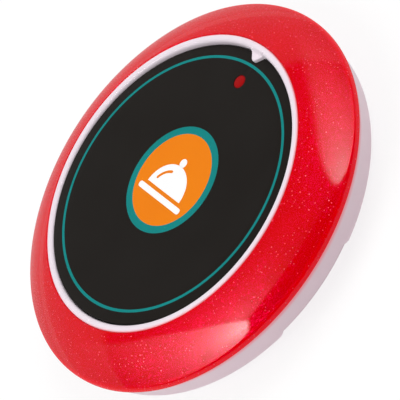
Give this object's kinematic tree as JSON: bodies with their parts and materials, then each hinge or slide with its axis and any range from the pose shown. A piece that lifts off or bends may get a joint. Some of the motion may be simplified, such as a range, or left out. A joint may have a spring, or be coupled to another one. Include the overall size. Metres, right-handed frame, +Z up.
{
  "type": "waiter call button",
  "caption": "Round table-top call button: a black push plate in a white housing with a red glitter ring, held by hooks over a tactile switch, with a coin-slot battery door below.",
  "frame": {"origin": "middle of the plane that the rubber feet stand on", "axes": "+Z up through the push plate, +Y towards the bezel's key tooth, beside which the indicator window lies, +X towards one of the two pry recesses"},
  "size_m": [0.0696, 0.0696, 0.0124],
  "materials": {
    "label_black": "satin printed film",
    "plate_black": "fine moulded texture",
    "window_red": "translucent dark red",
    "housing_white": "semi-gloss moulded, faint lilac white",
    "ring_red": "glossy translucent red with glitter",
    "shell_white": "semi-gloss moulded, faint lilac white",
    "door_white": "semi-gloss moulded",
    "seal_rubber": "soft black",
    "foot_rubber": "matte",
    "board_green": "solder mask",
    "switch_black": "moulded",
    "switch_steel": "stamped",
    "tinned": "tinned",
    "lamp_clear": "pale lamp body",
    "chip_black": "moulded",
    "can_steel": "nickel can",
    "coil_brown": "enamelled winding",
    "resistor_black": "glazed",
    "capacitor_tan": "ceramic",
    "antenna_copper": "bare wire",
    "contact_nickel": "nickel-plated strip",
    "cell_steel": "stainless can",
    "screw_steel": "zinc plated"
  },
  "bodies": {
    "housing": {"top_housing": "housing_white", "glitter_ring": "ring_red", "base_shell": "shell_white", "case_seal": "seal_rubber", "rubber_feet": "foot_rubber", "circuit_board": "board_green", "switch_base": "switch_black", "switch_cover": "switch_steel", "switch_dome": "switch_steel", "switch_terminals": "tinned", "indicator_led": "lamp_clear", "encoder_chip": "chip_black", "radio_chip": "chip_black", "saw_resonator": "can_steel", "matching_coil": "coil_brown", "chip_resistors": "resistor_black", "chip_capacitors": "capacitor_tan", "antenna_wire": "antenna_copper", "positive_contact": "contact_nickel", "negative_contact": "contact_nickel", "battery_cell": "cell_steel", "case_screws": "screw_steel", "board_screws": "screw_steel"},
    "push_button": {"button_plate": "plate_black", "label_film": "label_black", "led_window": "window_red"},
    "plunger": {"switch_plunger": "switch_black"},
    "door": {"battery_door": "door_white", "door_seal": "seal_rubber"}
  },
  "joints": [
    {"name": "button_press", "type": "slide", "parent": "housing", "child": "push_button", "axis": [0, 0, -1], "range_m": [0, 0.0003], "stiffness_N_per_m": 5000},
    {"name": "plunger_press", "type": "slide", "parent": "housing", "child": "plunger", "axis": [0, 0, -1], "range_m": [0, 0.0003], "deforming": ["switch_dome"]},
    {"name": "door_turn", "type": "hinge", "parent": "housing", "child": "door", "pos_m": [0, 0, 0], "axis": [0, 0, -1], "range_deg": [0, 40]}
  ],
  "couplings": [
    {"joint": "plunger_press", "follows": "button_press", "ratio": 1}
  ]
}
